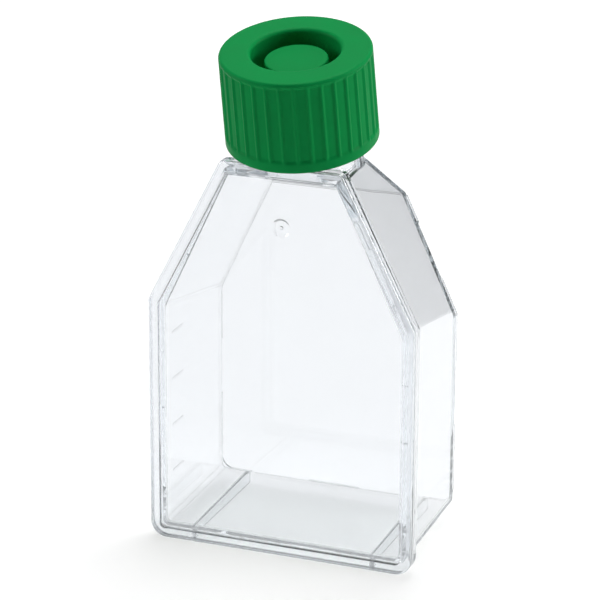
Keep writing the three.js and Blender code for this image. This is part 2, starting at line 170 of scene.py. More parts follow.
class FlaskRibs(bpy.types.PropertyGroup):
    foot_spacing: length("Foot spacing", 36, "Between the two standing ribs")
    foot_width: length("Foot width", 1, "Width of a standing rib")
    foot_setback: length("Foot setback", 0.4, "Back wall to the end of a standing rib")
    stack_height: length("Stack height", 0.5, "How far the stacking ribs stand out")
    stack_width: length("Stack width", 0.8, "Width of a stacking rib")
    stack_inset: length("Stack inset", 0.05, "Edge of the back wall to a stacking rib")
    crown_length: length("Crown length", 5.9, "Stacking rib at the top of a shoulder")
    knee_above: length("Knee above", 6.8, "Stacking rib above the shoulder's knee")
    knee_below: length("Knee below", 11, "Stacking rib below the shoulder's knee")
    corner_height: length("Corner height", 16.5, "Stacking rib up from a foot corner")
    corner_width: length("Corner width", 7, "Stacking rib in from a foot corner")
    floor_length: length("Floor length", 10.2, "Stacking rib in the middle of the floor edge")
    mark_height: length("Mark height", 11.7, "Foot to the first filling mark")
    mark_pitch: length("Mark pitch", 9.3, "From one filling mark to the next")
    mark_length: length("Mark length", 4.7, "Length of a filling mark")
    mark_width: length("Mark width", 0.4, "Height of a filling mark's line")
    mark_relief: length("Mark relief", 0.12, "How far a filling mark stands out")
    mark_setback: length("Mark setback", 2.7, "Flange to the filling marks")


class FlaskPlate(bpy.types.PropertyGroup):
    rim_width: length("Rim width", 2.1, "Width of the raised rim")
    rim_height: length("Rim height", 0.8, "How far the rim stands out from the web")
    rim_radius: length("Rim radius", 0.5, "Rounding of the rim's edges")
    gate_height: length("Gate height", 64.5, "Foot to the middle of the gate mark")
    gate_radius: length("Gate radius", 1.8, "Edge of the gate mark's dish")
    gate_floor: length("Gate floor", 1.3, "Edge of the dish's flat floor")
    gate_depth: length("Gate depth", 0.3, "Depth of the dish")
    nub_radius: length("Nub radius", 0.3, "Nub in the middle of the dish")
    nub_height: length("Nub height", 0.25, "Height of the nub")


class FlaskNeck(bpy.types.PropertyGroup):
    radius: length("Neck radius", 10.9, "Outside of the neck under its thread")
    bore: length("Bore radius", 9.5, "Inside of the neck")
    height: length("Neck length", 15, "Foot of the cap to the neck's rim, along the neck")
    sink: length("Neck sink", 14.5, "How far the neck runs down into the shoulders")
    rim_radius: length("Rim radius", 0.35, "Rounding of the neck's rim")
    ridge_height: length("Ridge height", 1, "How far a thread's ridge stands out")
    ridge_root: length("Ridge root", 1.4, "Width of a ridge where it leaves the wall")
    ridge_crest: length("Ridge crest", 0.6, "Width of a ridge at its top")
    lead: length("Lead", 6, "Rise of the cap in one turn")
    thread_start: length("Neck thread start", 3.9, "Foot of the cap to the neck's thread")
    cap_thread_start: length("Cap thread start", 2.1, "Foot of the cap to its own thread")


class FlaskCap(bpy.types.PropertyGroup):
    radius: length("Cap radius", 13.98, "Outside of the ribs at the top")
    flare: length("Flare", 0.14, "How much wider the cap is at its foot")
    height: length("Cap height", 17.85, "Foot to top of the cap")
    skirt: length("Skirt radius", 12.12, "Inside of the skirt")
    roof: length("Roof height", 16.4, "Foot of the cap to the underside of its roof")
    edge_radius: length("Edge radius", 0.6, "Rounding of the top edge")
    lip_height: length("Lip height", 1.7, "Plain lip under the ribs")
    rib_depth: length("Rib depth", 0.32, "Depth of the valleys between the ribs")
    rib_fade: length("Rib fade", 0.8, "Length over which the valleys run out")
    plug_radius: length("Plug radius", 9.35, "Outside of the plug")
    plug_foot: length("Plug foot", 10.4, "Foot of the cap to the foot of the plug")
    plug_wall: length("Plug wall", 1.15, "Thickness of the plug's wall and floor")
    disc_radius: length("Disc radius", 5.85, "Disc inside the ring groove")
    disc_recess: length("Disc recess", 1.85, "Top of the cap down to the disc")
    disc_thickness: length("Disc thickness", 1.2, "Thickness of the disc")
    groove_radius: length("Groove radius", 0.8, "Rounding of the groove's mouth")
    ring_thickness: length("Ring thickness", 0.8, "Thickness of the sealing ring")
    ring_clearance: length("Ring clearance", 0.3, "Free space round the sealing ring")


class FlaskGrip(bpy.types.PropertyGroup):
    ribs: count("Ribs", 34, "Grip ribs round the cap")
    turn: angle("Turn", 2.65, "Turn of the ribs about the cap's axis")
    crest: share("Crest", 0.03, "Half of a rib's flat crest, as a share of the pitch")
    flank: share("Flank", 0.16, "A rib's flank, as a share of the pitch")


class FlaskFinish(bpy.types.PropertyGroup):
    clear: colour("Clear plastic", (0.906, 0.918, 0.932), "Tint of the clear plastic's faces")
    depth: colour("Clear depth", (0.2, 0.36, 0.48), "Tint of the clear plastic where it is thick")
    density: plain("Clear density", 5, "Strength of the tint in thick plastic, per metre")
    shade: colour("Clear shade", (0.902, 0.907, 0.896), "Light that one face lets through")
    green: colour("Cap green", (0.003, 0.279, 0.064), "Colour of the cap")
    seal: colour("Seal white", (0.8, 0.8, 0.77), "Colour of the sealing ring")
    index: plain("Refraction", 1.59, "Index of refraction of the clear plastic")


class FlaskStage(bpy.types.PropertyGroup):
    target: bpy.props.FloatVectorProperty(
        name="Target", description="Point that the camera looks at", size=3,
        default=(0.0041, FRONT * MM, 0.05155), unit="LENGTH", subtype="XYZ", precision=5)
    distance: bpy.props.FloatProperty(
        name="Distance", description="Camera to target", default=0.5638, unit="LENGTH")
    yaw: angle("Yaw", 21.187, "Camera's turn to the right of the front")
    pitch: angle("Pitch", 19.393, "How far the camera looks down")
    roll: angle("Roll", 0.317, "Turn about the line of sight")
    lens: plain("Lens", 186.02, "Focal length in millimetres on a 36 mm sensor")
    floor_glow: share("Floor glow", 0.25, "White that the floor shows by itself")
    far_glow: share("Far glow", 0.5, "White that the floor's edge adds in the background")
    floor_radius: length("Floor radius", 800, "Reach of the round floor")
    near_radius: length("Near radius", 250, "Floor round the flask without the far glow")
    floor_white: share("Floor white", 0.87, "White that the floor owes to the lamps")
    sky: plain("Sky", 0.11, "Light from all round")
    doorway_turn: angle("Doorway turn", 11, "Dark doorway, turned from straight behind")
    doorway_reach: angle("Doorway reach", 9, "From the doorway's middle to its edge")
    doorway_light: share("Doorway light", 0.1, "Brightness in the doorway, against the room")
    horizon: share("Horizon", 0.4, "Room above the floor's edge, as clear plastic shows it")
    haze: share("Haze", 0.5, "Room a little higher, as clear plastic shows it")
    zenith: share("Zenith", 0.5, "Room overhead, as clear plastic shows it")
    top_lamp: plain("Top lamp", 5.9, "Power in watts of the soft lamp overhead")
    left_lamp: plain("Left lamp", 2.7, "Power in watts of the soft lamp on the left")
    right_lamp: plain("Right lamp", 4.8, "Power in watts of the soft lamp on the right")


SETTINGS = {
    "flask_outline": FlaskOutline,
    "flask_tub": FlaskTub,
    "flask_ribs": FlaskRibs,
    "flask_plate": FlaskPlate,
    "flask_neck": FlaskNeck,
    "flask_cap": FlaskCap,
    "flask_grip": FlaskGrip,
    "flask_finish": FlaskFinish,
    "flask_stage": FlaskStage,
}


def in_mm(group):
    """The settings of a group, its lengths in millimetres and its angles in radians."""
    units = {name: group.bl_rna.properties[name].unit for name in type(group).__annotations__}
    scale = {name: MM if unit == "LENGTH" else 1 for name, unit in units.items()}
    return SimpleNamespace(**{name: getattr(group, name) / scale[name] for name in scale})


# ---- Modelling helpers ----


def deselect_all():
    for ob in bpy.context.selected_objects:
        ob.select_set(False)


def make_active(ob):
    deselect_all()
    bpy.context.view_layer.objects.active = ob
    ob.select_set(True)


def edit_all(ob):
    """Opens a form in edit mode, with all of it selected."""
    make_active(ob)
    bpy.ops.object.mode_set(mode="EDIT")
    bpy.ops.mesh.select_all(action="SELECT")


def leave_edit():
    bpy.ops.object.mode_set(mode="OBJECT")


def apply_place(ob):
    make_active(ob)
    bpy.ops.object.transform_apply(location=True, rotation=True, scale=True)
    return ob


def add_block(low, high):
    """A box between two corners."""
    deselect_all()
    low, high = Vector(low), Vector(high)
    bpy.ops.mesh.primitive_cube_add(size=1, location=(low + high) / 2, scale=high - low)
    return apply_place(bpy.context.object)


def cut(ob, point, normal):
    """Cuts away what lies beyond a plane and closes the cut."""
    edit_all(ob)
    bpy.ops.mesh.bisect(
        plane_co=point, plane_no=normal, use_fill=True, clear_outer=True, threshold=ON_CUT)
    leave_edit()


def apply_modifier(ob, kind, **settings):
    make_active(ob)
    modifier = ob.modifiers.new(kind.lower(), kind)
    for name, value in settings.items():
        setattr(modifier, name, value)
    bpy.ops.object.modifier_apply(modifier=modifier.name)


def runs_back(start, end):
    """Whether an edge runs from front to back, and not round a section."""
    along = end - start
    return abs(along.y) > abs(along.x) + abs(along.z)


def round_edges(ob, radius_of, segments):
    """Rounds each edge to the radius that radius_of gives for its two ends and its turn."""
    mesh = bmesh.new()
    mesh.from_mesh(ob.data)
    widths = []
    for edge in mesh.edges:
        turn = edge.calc_face_angle(0)
        radius = radius_of(edge.verts[0].co, edge.verts[1].co, turn)
        widths.append(radius * math.tan(turn / 2))
    mesh.free()
    widest = max(widths)
    weights = ob.data.attributes.new("bevel_weight_edge", "FLOAT", "EDGE")
    weights.data.foreach_set("value", [width / widest for width in widths])
    apply_modifier(
        ob, "BEVEL", limit_method="WEIGHT", width=widest, segments=segments,
        use_clamp_overlap=False)
    ob.data.attributes.remove(ob.data.attributes["bevel_weight_edge"])


def combine(ob, other, operation):
    """Joins another closed form to this one, or cuts it out."""
    apply_modifier(ob, "BOOLEAN", operation=operation, object=other, solver="EXACT")
    bpy.data.objects.remove(other)
    return ob


def join_all(first, *others):
    for other in others:
        combine(first, other, "UNION")
    return first


def select_vertices(ob, indices):
    """In edit mode, selects only the vertices of the given indices."""
    bpy.ops.mesh.select_all(action="DESELECT")
    mesh = bmesh.from_edit_mesh(ob.data)
    mesh.verts.ensure_lookup_table()
    for index in indices:
        mesh.verts[index].select_set(True)
    bmesh.update_edit_mesh(ob.data)


def point_outwards(ob):
    edit_all(ob)
    bpy.ops.mesh.remove_doubles(threshold=MERGED)
    bpy.ops.mesh.normals_make_consistent(inside=False)
    leave_edit()


def turned(rows, columns, closed=False):
    """A form turned about Z, drawn on as a ring from one (radius, height) to the next."""
    deselect_all()
    path = [*rows, rows[0]] if closed else rows
    radius, height = path[0]
    bpy.ops.mesh.primitive_circle_add(
        vertices=columns, radius=radius, fill_type="NOTHING" if closed else "NGON",
        location=(0, 0, height))
    ob = apply_place(bpy.context.object)
    edit_all(ob)
    for (radius, height), (next_radius, next_height) in pairwise(path):
        grow = next_radius / radius
        bpy.ops.mesh.extrude_region_move(
            TRANSFORM_OT_translate={"value": (0, 0, next_height - height)})
        bpy.ops.transform.resize(value=(grow, grow, 1), center_override=(0, 0, next_height))
    leave_edit()
    point_outwards(ob)
    return ob


def arc(centre, radius, start, end, steps=4):
    """Points of an arc in a turned form's section, with its angles in degrees."""
    turns = [math.radians(start + (end - start) * i / steps) for i in range(steps + 1)]
    return [(centre[0] + radius * math.cos(t), centre[1] + radius * math.sin(t)) for t in turns]


def place_on_neck(ob):
    """Moves a form made about Z onto the neck's axis, its zero level with the cap's foot."""
    ob.matrix_world = Matrix.Translation(NECK_FOOT) @ Matrix.Rotation(NECK_LEAN, 4, "X")
    return apply_place(ob)


def smooth_step(share_done):
    share_done = min(max(share_done, 0), 1)
    return share_done * share_done * (3 - 2 * share_done)


def finish_piece(ob, name, body, material, smooth_below=30):
    """Brings a piece to metres, smooths its rounded edges and hands it to the frame."""
    point_outwards(ob)
    ob.scale = (MM, MM, MM)
    apply_place(ob)
    bpy.ops.object.shade_smooth_by_angle(angle=math.radians(smooth_below))
    apply_modifier(ob, "WEIGHTED_NORMAL", keep_sharp=True)
    ob.name = name + "_look"
    ob.data.name = name
    ob.data.materials.clear()
    ob.data.materials.append(material)
    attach(ob, body)
    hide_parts(name)


# ---- Outline of flange, plate and tub ----

# Half width, floor and top of a section, the lean of its shoulders from the vertical, and the
# distance of the shoulder's line from the origin.
Section = namedtuple("Section", "half floor top lean shoulder")


def across_shoulder(lean, side=1):
    """Direction square to a shoulder, on the right or on the left side."""
    return Vector((side * math.cos(lean), 0, math.sin(lean)))


def knee_of(section):
    """Where the shoulder leaves the straight side."""
    rise = section.shoulder - math.cos(section.lean) * section.half
    return Vector((section.half, 0, rise / math.sin(section.lean)))


def crown_of(section):
    """Where the shoulder meets the flat top."""
    reach = section.shoulder - math.sin(section.lean) * section.top
    return Vector((reach / math.cos(section.lean), 0, section.top))


def flange_section(outline, inset):
    knee = Vector((WIDTH / 2, 0, outline.side_height))
    lean = math.atan2((WIDTH - outline.top_width) / 2, outline.height - outline.side_height)
    shoulder = across_shoulder(lean).dot(knee)
    return Section(WIDTH / 2 - inset, inset, outline.height - inset, lean, shoulder - inset)


def tub_section(outline, tub, y, inset):
    """The tub's outline at a depth, drawn in by an inset."""
    run = y - FRONT - tub.flange_back
    flange = flange_section(outline, tub.flange_lip + inset)
    slope = tub.back_height + (FRONT + tub.depth - y) * math.tan(tub.back_slope)
    return Section(
        flange.half - run * math.tan(DRAFTS.side),
        flange.floor + run * math.tan(DRAFTS.floor),
        min(flange.top, slope - inset / math.cos(tub.back_slope)),
        flange.lean - run / (tub.depth - tub.flange_back) * tub.twist,
        flange.shoulder - run * math.tan(DRAFTS.shoulder))


def slab(outline, section, front, back, foot_radius):
    """A straight slab of a section, its foot corners and shoulder corners rounded."""
    block = add_block((-section.half, front, section.floor), (section.half, back, section.top))
    for side in (1, -1):
        across = across_shoulder(section.lean, side)
        cut(block, across * section.shoulder, across)

    def radius_of(start, end, turn):
        if turn < SMOOTH_TURN or not runs_back(start, end):
            return 0
        return foot_radius if start.z < outline.side_height / 2 else outline.corner_radius

    round_edges(block, radius_of, segments=8)
    return block


def tub_form(outline, tub, inset, front, back):
    """The tub's outside or inside: drafted walls, a sloped back corner, rounded edges."""
    mouth = tub_section(outline, tub, FRONT + tub.flange_back, inset)
    mouth_y = FRONT + tub.flange_back
    form = add_block((-WIDTH, front, -WIDTH), (WIDTH, back, 2 * outline.height))
    cut(form, (0, mouth_y, mouth.floor), (0, math.tan(DRAFTS.floor), -1))
    cut(form, (0, mouth_y, mouth.top), (0, 0, 1))
    end = tub_section(outline, tub, FRONT + tub.depth, inset)
    middle = (knee_of(mouth) + crown_of(mouth)) / 2
    reach = across_shoulder(end.lean).dot(middle)
    draw_in = (reach - end.shoulder) / (tub.depth - tub.flange_back)
    for side in (1, -1):
        cut(form, (side * mouth.half, mouth_y, 0), (side, math.tan(DRAFTS.side), 0))
        across = across_shoulder(end.lean, side)
        cut(form, across * reach + Vector((0, mouth_y, 0)), across + Vector((0, draw_in, 0)))
    slope = Vector((0, math.sin(tub.back_slope), math.cos(tub.back_slope)))
    cut(form, Vector((0, FRONT + tub.depth, tub.back_height)) - slope * inset, slope)
    foot_radius = tub.foot_radius - inset / 2

    def foot_radius_of(start, end, turn):
        if turn < SMOOTH_TURN or not runs_back(start, end):
            return 0
        return foot_radius if start.z < outline.side_height / 2 else 0

    round_edges(form, foot_radius_of, segments=10)
    back_radius = max(tub.back_radius - inset / 2, LEAST_RADIUS)
    edge_radius = max(tub.edge_radius - inset / 4, LEAST_RADIUS)

    def edge_radius_of(start, end, turn):
        if turn < SMOOTH_TURN or max(start.y, end.y) < front + SAME_LEVEL:
            return 0
        if min(start.y, end.y) > back - SAME_LEVEL:
            return back_radius
        return tub.knee_radius if turn < KNEE_TURN else edge_radius

    round_edges(form, edge_radius_of, segments=4)
    return form


# ---- Clear tub ----


def flange(outline, tub):
    front = FRONT + tub.flange_front + tub.weld_gap
    back = FRONT + tub.flange_back
    form = slab(outline, flange_section(outline, 0), front, back, outline.foot_radius)

    def radius_of(start, end, turn):
        if turn < SMOOTH_TURN:
            return 0
        at_back = min(start.y, end.y) > back - SAME_LEVEL
        return tub.lip_radius if at_back else tub.seam_radius

    round_edges(form, radius_of, segments=5)
    return form


def standing_rib(tub, ribs):
    """The left one of the two ribs that the flask stands on, its top inside the floor."""
    left = -(ribs.foot_spacing + ribs.foot_width) / 2
    top, soft = 3.5, 0.25
    low = (left, FRONT + tub.flange_back - SUNK, 0)
    high = (left + ribs.foot_width, FRONT + tub.depth - ribs.foot_setback, top)
    rib = add_block(low, high)

    def radius_of(start, end, turn):
        return soft if max(start.z, end.z) < SAME_LEVEL else 0

    round_edges(rib, radius_of, segments=3)
    return rib


def stacking_ribs(outline, tub, ribs):
    """Low ribs along the back wall's edge: a ring, with the gaps between them cut out."""
    depth = FRONT + tub.depth
    front, back = depth - tub.back_wall / 2, depth + ribs.stack_height
    section = tub_section(outline, tub, depth, ribs.stack_inset)
    inner = tub_section(outline, tub, depth, ribs.stack_inset + ribs.stack_width)
    ring = slab(outline, section, front, back, outline.foot_radius)
    hollow = slab(
        outline, inner, front - PAST, back + PAST, outline.foot_radius - ribs.stack_width)
    combine(ring, hollow, "DIFFERENCE")
    knee = knee_of(section).z
    reach = section.half + PAST
    floor = section.floor - PAST
    crown = section.top - ribs.crown_length
    corner = section.floor + ribs.corner_height
    corner_in = section.half - ribs.corner_width
    dash = ribs.floor_length / 2
    gaps = [
        ((-reach, section.top - ribs.stack_width), (reach, section.top + PAST)),
        ((-reach, knee + ribs.knee_above), (reach, crown)),
        ((-reach, corner), (reach, knee - ribs.knee_below)),
        ((-corner_in, floor), (-dash, corner)),
        ((dash, floor), (corner_in, corner)),
    ]
    for (left, foot), (right, top) in gaps:
        gap = add_block((left, front - PAST, foot), (right, back + PAST, top))
        combine(ring, gap, "DIFFERENCE")
    return ring


def filling_mark(outline, tub, ribs):
    """The lowest of the marks that stand out from the left wall."""
    front = FRONT + tub.flange_back + ribs.mark_setback
    back = front + ribs.mark_length
    wall = -tub_section(outline, tub, back, 0).half
    low = (wall - ribs.mark_relief, front, ribs.mark_height - ribs.mark_width / 2)
    high = (wall + tub.wall / 2, back, ribs.mark_height + ribs.mark_width / 2)
    mark = add_block(low, high)
    soft = 0.08

    def radius_of(start, end, turn):
        return soft if max(start.x, end.x) < wall - ribs.mark_relief / 2 else 0

    round_edges(mark, radius_of, segments=2)
    return mark


def copy_of(ob, offset):
    """A copy of a form with a mesh of its own, moved by an offset."""
    make_active(ob)
    bpy.ops.object.duplicate_move(TRANSFORM_OT_translate={"value": offset})
    return apply_place(bpy.context.object)


# Depth in the wall of a ridge's foot and of its ends, its sections in a turn and in a run-out.
RIDGE_FOOT = 0.4
RIDGE_END = 0.2
TURN_SECTIONS = 96
RUN_OUT_SECTIONS = 6


def thread_ridge(neck, wall, crest, start, turns):
    """One ridge of a thread about Z: its foot lies in the wall, and both ends run out."""
    outwards = 1 if crest > wall else -1
    foot = wall - outwards * RIDGE_FOOT
    end = wall - outwards * RIDGE_END
    deselect_all()
    bpy.ops.mesh.primitive_plane_add(size=1)
    ridge = bpy.context.object
    corners = [
        (foot, -neck.ridge_root / 2),
        (crest, -neck.ridge_crest / 2),
        (foot, neck.ridge_root / 2),
        (crest, neck.ridge_crest / 2),
    ]
    for vertex, (radius, height) in zip(ridge.data.vertices, corners):
        vertex.co = (radius, 0, start + height)
    steps = round(turns * TURN_SECTIONS)
    apply_modifier(
        ridge, "SCREW", axis="Z", angle=turns * 2 * math.pi, screw_offset=turns * neck.lead,
        steps=steps, render_steps=steps)
    edit_all(ridge)
    for row in range(RUN_OUT_SECTIONS):
        radius = end + (crest - end) * smooth_step(row / RUN_OUT_SECTIONS)
        grow = radius / crest
        for section in (row, steps - row):
            first = section * len(corners)
            select_vertices(ridge, [first + 1, first + 3])
            bpy.ops.transform.resize(value=(grow, grow, 1), center_override=(0, 0, 0))
    bpy.ops.mesh.select_all(action="DESELECT")
    bpy.ops.mesh.select_mode(type="EDGE")
    mesh = bmesh.from_edit_mesh(ridge.data)
    for edge in mesh.edges:
        edge.select_set(edge.is_boundary)
    bmesh.update_edit_mesh(ridge.data)
    bpy.ops.mesh.edge_face_add()
    bpy.ops.mesh.select_mode(type="VERT")
    leave_edit()
    point_outwards(ridge)
    return ridge


def thread(neck, wall, crest, start, turns, phase):
    """A two-start thread: one ridge and its copy half a turn on."""
    first = thread_ridge(neck, wall, crest, start, turns)
    second = copy_of(first, (0, 0, 0))
    for ridge, turn in ((first, phase), (second, phase + math.pi)):
        ridge.rotation_euler.z = turn
        apply_place(ridge)
    return first, second


def neck_outside(outline, tub, neck):
    """The neck's wall and thread, cut off where the plate stands."""
    rim = (neck.radius - neck.rim_radius, neck.height - neck.rim_radius)
    form = turned([(neck.radius, -neck.sink), *arc(rim, neck.rim_radius, 0, 90)], COLUMNS)
    crest = neck.radius + neck.ridge_height
    ridges = thread(neck, neck.radius, crest, neck.thread_start, turns=1.3, phase=0)
    place_on_neck(join_all(form, *ridges))
    plate_space = add_block(
        (-WIDTH, -2 * WIDTH, -PAST),
        (WIDTH, FRONT + tub.flange_front + tub.weld_gap, outline.height + CAP_CLEARANCE))
    return combine(form, plate_space, "DIFFERENCE")


def neck_bore(neck):
    """The bore, from the tub's hollow to past the neck's rounded rim."""
    rim = (neck.bore + neck.rim_radius, neck.height - neck.rim_radius)
    mouth = arc(rim, neck.rim_radius, 180, 90)
    past = (mouth[-1][0], neck.height + PAST)
    return place_on_neck(turned([(neck.bore, PAST - neck.sink), *mouth, past], COLUMNS))


def model_tub(scene):
    outline, tub = in_mm(scene.flask_outline), in_mm(scene.flask_tub)
    ribs, neck = in_mm(scene.flask_ribs), in_mm(scene.flask_neck)
    back = FRONT + tub.depth
    body = tub_form(outline, tub, 0, FRONT + tub.flange_front + SUNK, back)
    combine(body, flange(outline, tub), "UNION")
    rib = standing_rib(tub, ribs)
    join_all(body, copy_of(rib, (ribs.foot_spacing, 0, 0)), rib)
    combine(body, stacking_ribs(outline, tub, ribs), "UNION")
    mark = filling_mark(outline, tub, ribs)
    marks = [copy_of(mark, (0, 0, step * ribs.mark_pitch)) for step in range(1, MARKS)]
    join_all(body, mark, *marks)
    combine(body, neck_outside(outline, tub, neck), "UNION")
    inside = tub_form(outline, tub, tub.wall, FRONT - PAST, back - tub.back_wall)
    combine(body, inside, "DIFFERENCE")
    return combine(body, neck_bore(neck), "DIFFERENCE")


# ---- Front plate ----


def on_web(ob, plate):
    """Moves a form made about Z to the gate's place on the web, its height towards the front."""
    ob.rotation_euler.x = math.pi / 2
    ob.location = (0, FRONT + plate.rim_height, plate.gate_height)
    return apply_place(ob)


def gate_dish(plate):
    """A round recess with a flat floor and a sloping side that bends softly at both ends."""
    soft, foot_rise, edge_fall = 0.1, 0.02, 0.06
    rows = [
        (plate.gate_floor, -plate.gate_depth),
        (plate.gate_floor + soft, foot_rise - plate.gate_depth),
        (plate.gate_radius - soft, -edge_fall),
        (plate.gate_radius, 0),
        (plate.gate_radius + soft, SUNK),
    ]
    return on_web(turned(rows, COLUMNS // 2), plate)


def gate_nub(plate):
    """A round nub with a soft tip, widening downwards and sunk into the dish's floor."""
    soft, sunk, flare = plate.nub_radius / 2, 0.2, 0.05
    tip = (plate.nub_radius - soft, plate.nub_height - plate.gate_depth - soft)
    rows = [
        (plate.nub_radius + 2 * flare, -plate.gate_depth - sunk),
        (plate.nub_radius + flare, -plate.gate_depth),
        *arc(tip, soft, 0, 80),
    ]
    return on_web(turned(rows, COLUMNS // 4), plate)


def model_front_plate(scene):
    outline, tub = in_mm(scene.flask_outline), in_mm(scene.flask_tub)
    plate = in_mm(scene.flask_plate)
    back = FRONT + tub.flange_front
    land = slab(outline, flange_section(outline, 0), FRONT, back, outline.foot_radius)
    floor = FRONT + plate.rim_height
    recess = slab(
        outline, flange_section(outline, plate.rim_width), FRONT - PAST, floor,
        outline.foot_radius - plate.rim_width)
    combine(land, recess, "DIFFERENCE")

    def radius_of(start, end, turn):
        if turn < SMOOTH_TURN or runs_back(start, end):
            return 0
        if start.y > back - SAME_LEVEL:
            return tub.seam_radius
        in_front = start.y < FRONT + SAME_LEVEL
        return plate.rim_radius if in_front else plate.rim_radius / 2

    round_edges(land, radius_of, segments=4)
    combine(land, gate_dish(plate), "DIFFERENCE")
    return combine(land, gate_nub(plate), "UNION")


# ---- Cap and sealing ring ----

# Columns of the cap's turned form in one rib, and rows in which a valley runs out.
COLUMNS_PER_RIB = 12
FADE_ROWS = 5


def cap_top_rows(cap):
    """Section of the cap's top, from the disc out to the rounded edge."""
    disc = cap.height - cap.disc_recess
    floor = cap.plug_foot + cap.plug_wall
    groove = cap.plug_radius - cap.plug_wall
    soft = 0.35
    mouth = (groove + cap.groove_radius, cap.height - cap.groove_radius)
    edge = (cap.radius - cap.edge_radius, cap.height - cap.edge_radius)
    return [
        *arc((cap.disc_radius - soft, disc - soft), soft, 90, 0),
        *arc((cap.disc_radius + soft, floor + soft), soft, 180, 270),
        *arc((groove - soft, floor + soft), soft, 270, 360),
        *arc(mouth, cap.groove_radius, 180, 90, steps=6),
        *arc(edge, cap.edge_radius, 90, 0, steps=8),
    ]


def outside(cap, height):
    """Radius of the cap's outside, which narrows a little from foot to top."""
    return cap.radius + cap.flare * (1 - height / cap.height)


def grip_heights(cap):
    """Rows of the grip from the lip up, each with the share of the full valley depth."""
    top = cap.height - cap.edge_radius
    steps = [row / FADE_ROWS for row in range(FADE_ROWS + 1)]
    rising = [(cap.lip_height + step * cap.rib_fade, smooth_step(step)) for step in steps]
    falling = [(top - step * cap.rib_fade, smooth_step(step)) for step in reversed(steps)]
    return rising + falling


def cap_skirt_rows(cap):
    """Section of the cap's outside, from the grip's top down to the foot."""
    soft = 0.3
    grip = [(outside(cap, height), height) for height, _ in reversed(grip_heights(cap))]
    return [*grip, *arc((outside(cap, 0) - soft, soft), soft, 0, -90)]


def cap_hollow_rows(cap):
    """Section of the cap's inside, from the foot up round the plug to the disc."""
    soft, tight = 0.35, 0.2
    core = cap.disc_radius - cap.plug_wall
    underside = cap.height - cap.disc_recess - cap.disc_thickness
    return [
        (cap.skirt + soft, 0),
        (cap.skirt, soft),
        *arc((cap.skirt - soft, cap.roof - soft), soft, 0, 90),
        *arc((cap.plug_radius + tight, cap.roof - tight), tight, 90, 180),
        (cap.plug_radius, cap.plug_foot + 2 * soft),
        *arc((cap.plug_radius - soft, cap.plug_foot + soft), soft, 0, -90),
        (core, cap.plug_foot),
        (core, underside),
    ]


def grip_columns(ob, cap, grip, row_height):
    """Outer vertices of a row, sorted by how many columns they lie from the nearest rib."""
    pitch = 2 * math.pi / grip.ribs
    columns = {}
    for vertex in ob.data.vertices:
        place = vertex.co
        level = abs(place.z - row_height) < SAME_LEVEL
        if not level or place.xy.length < cap.radius - SAME_LEVEL:
            continue
        turn = math.atan2(place.y, place.x) / pitch
        column = round(abs(turn - round(turn)) * COLUMNS_PER_RIB)
        columns.setdefault(column, []).append(vertex.index)
    return columns


def press_valleys(ob, cap, grip):
    """Draws the columns between the ribs in towards the axis, row by row."""
    pressed = [
        (height, fullness, grip_columns(ob, cap, grip, height))
        for height, fullness in grip_heights(cap) if fullness > 0
    ]
    edit_all(ob)
    bpy.ops.mesh.select_mode(type="VERT")
    for height, fullness, columns in pressed:
        for column, vertices in columns.items():
            away = column / COLUMNS_PER_RIB - grip.crest
            depth = smooth_step(away / grip.flank) * fullness * cap.rib_depth
            select_vertices(ob, vertices)
            shrink = 1 - depth / cap.radius
            bpy.ops.transform.resize(value=(shrink, shrink, 1), center_override=(0, 0, height))
    leave_edit()


def model_cap(scene):
    cap, neck, grip = in_mm(scene.flask_cap), in_mm(scene.flask_neck), scene.flask_grip
    rows = cap_top_rows(cap) + cap_skirt_rows(cap) + cap_hollow_rows(cap)
    shell = turned(rows, grip.ribs * COLUMNS_PER_RIB)
    press_valleys(shell, cap, grip)
    shell.rotation_euler.z = grip.turn
    apply_place(shell)
    crest = cap.skirt - neck.ridge_height
    gain = (neck.cap_thread_start - neck.thread_start) / neck.lead
    phase = math.pi / 2 + gain * 2 * math.pi
    ridges = thread(neck, cap.skirt, crest, neck.cap_thread_start, turns=0.9, phase=phase)
    return place_on_neck(join_all(shell, *ridges))


def model_sealing_ring(scene):
    cap, neck = in_mm(scene.flask_cap), in_mm(scene.flask_neck)
    soft = 0.15
    foot = neck.height + cap.ring_clearance
    top = foot + cap.ring_thickness
    inner = cap.plug_radius + cap.ring_clearance
    outer = cap.skirt - cap.ring_clearance
    rows = [
        *arc((outer - soft, foot + soft), soft, -90, 0),
        *arc((outer - soft, top - soft), soft, 0, 90),
        *arc((inner + soft, top - soft), soft, 90, 180),
        *arc((inner + soft, foot + soft), soft, 180, 270),
    ]
    return place_on_neck(turned(rows, COLUMNS, closed=True))


# ---- Materials ----

WHITE = (1, 1, 1, 1)
BLACK = (0, 0, 0, 1)


class Wiring:
    """Adds nodes to a tree, and links or sets their inputs."""

    def __init__(self, tree):
        self.tree = tree

    def add(self, kind, values=None, **settings):
        node = self.tree.nodes.new(kind)
        for name, value in settings.items():
            setattr(node, name, value)
        for socket, value in (values or {}).items():
            if isinstance(value, bpy.types.NodeSocket):
                self.tree.links.new(value, node.inputs[socket])
            else:
                node.inputs[socket].default_value = value
        return node


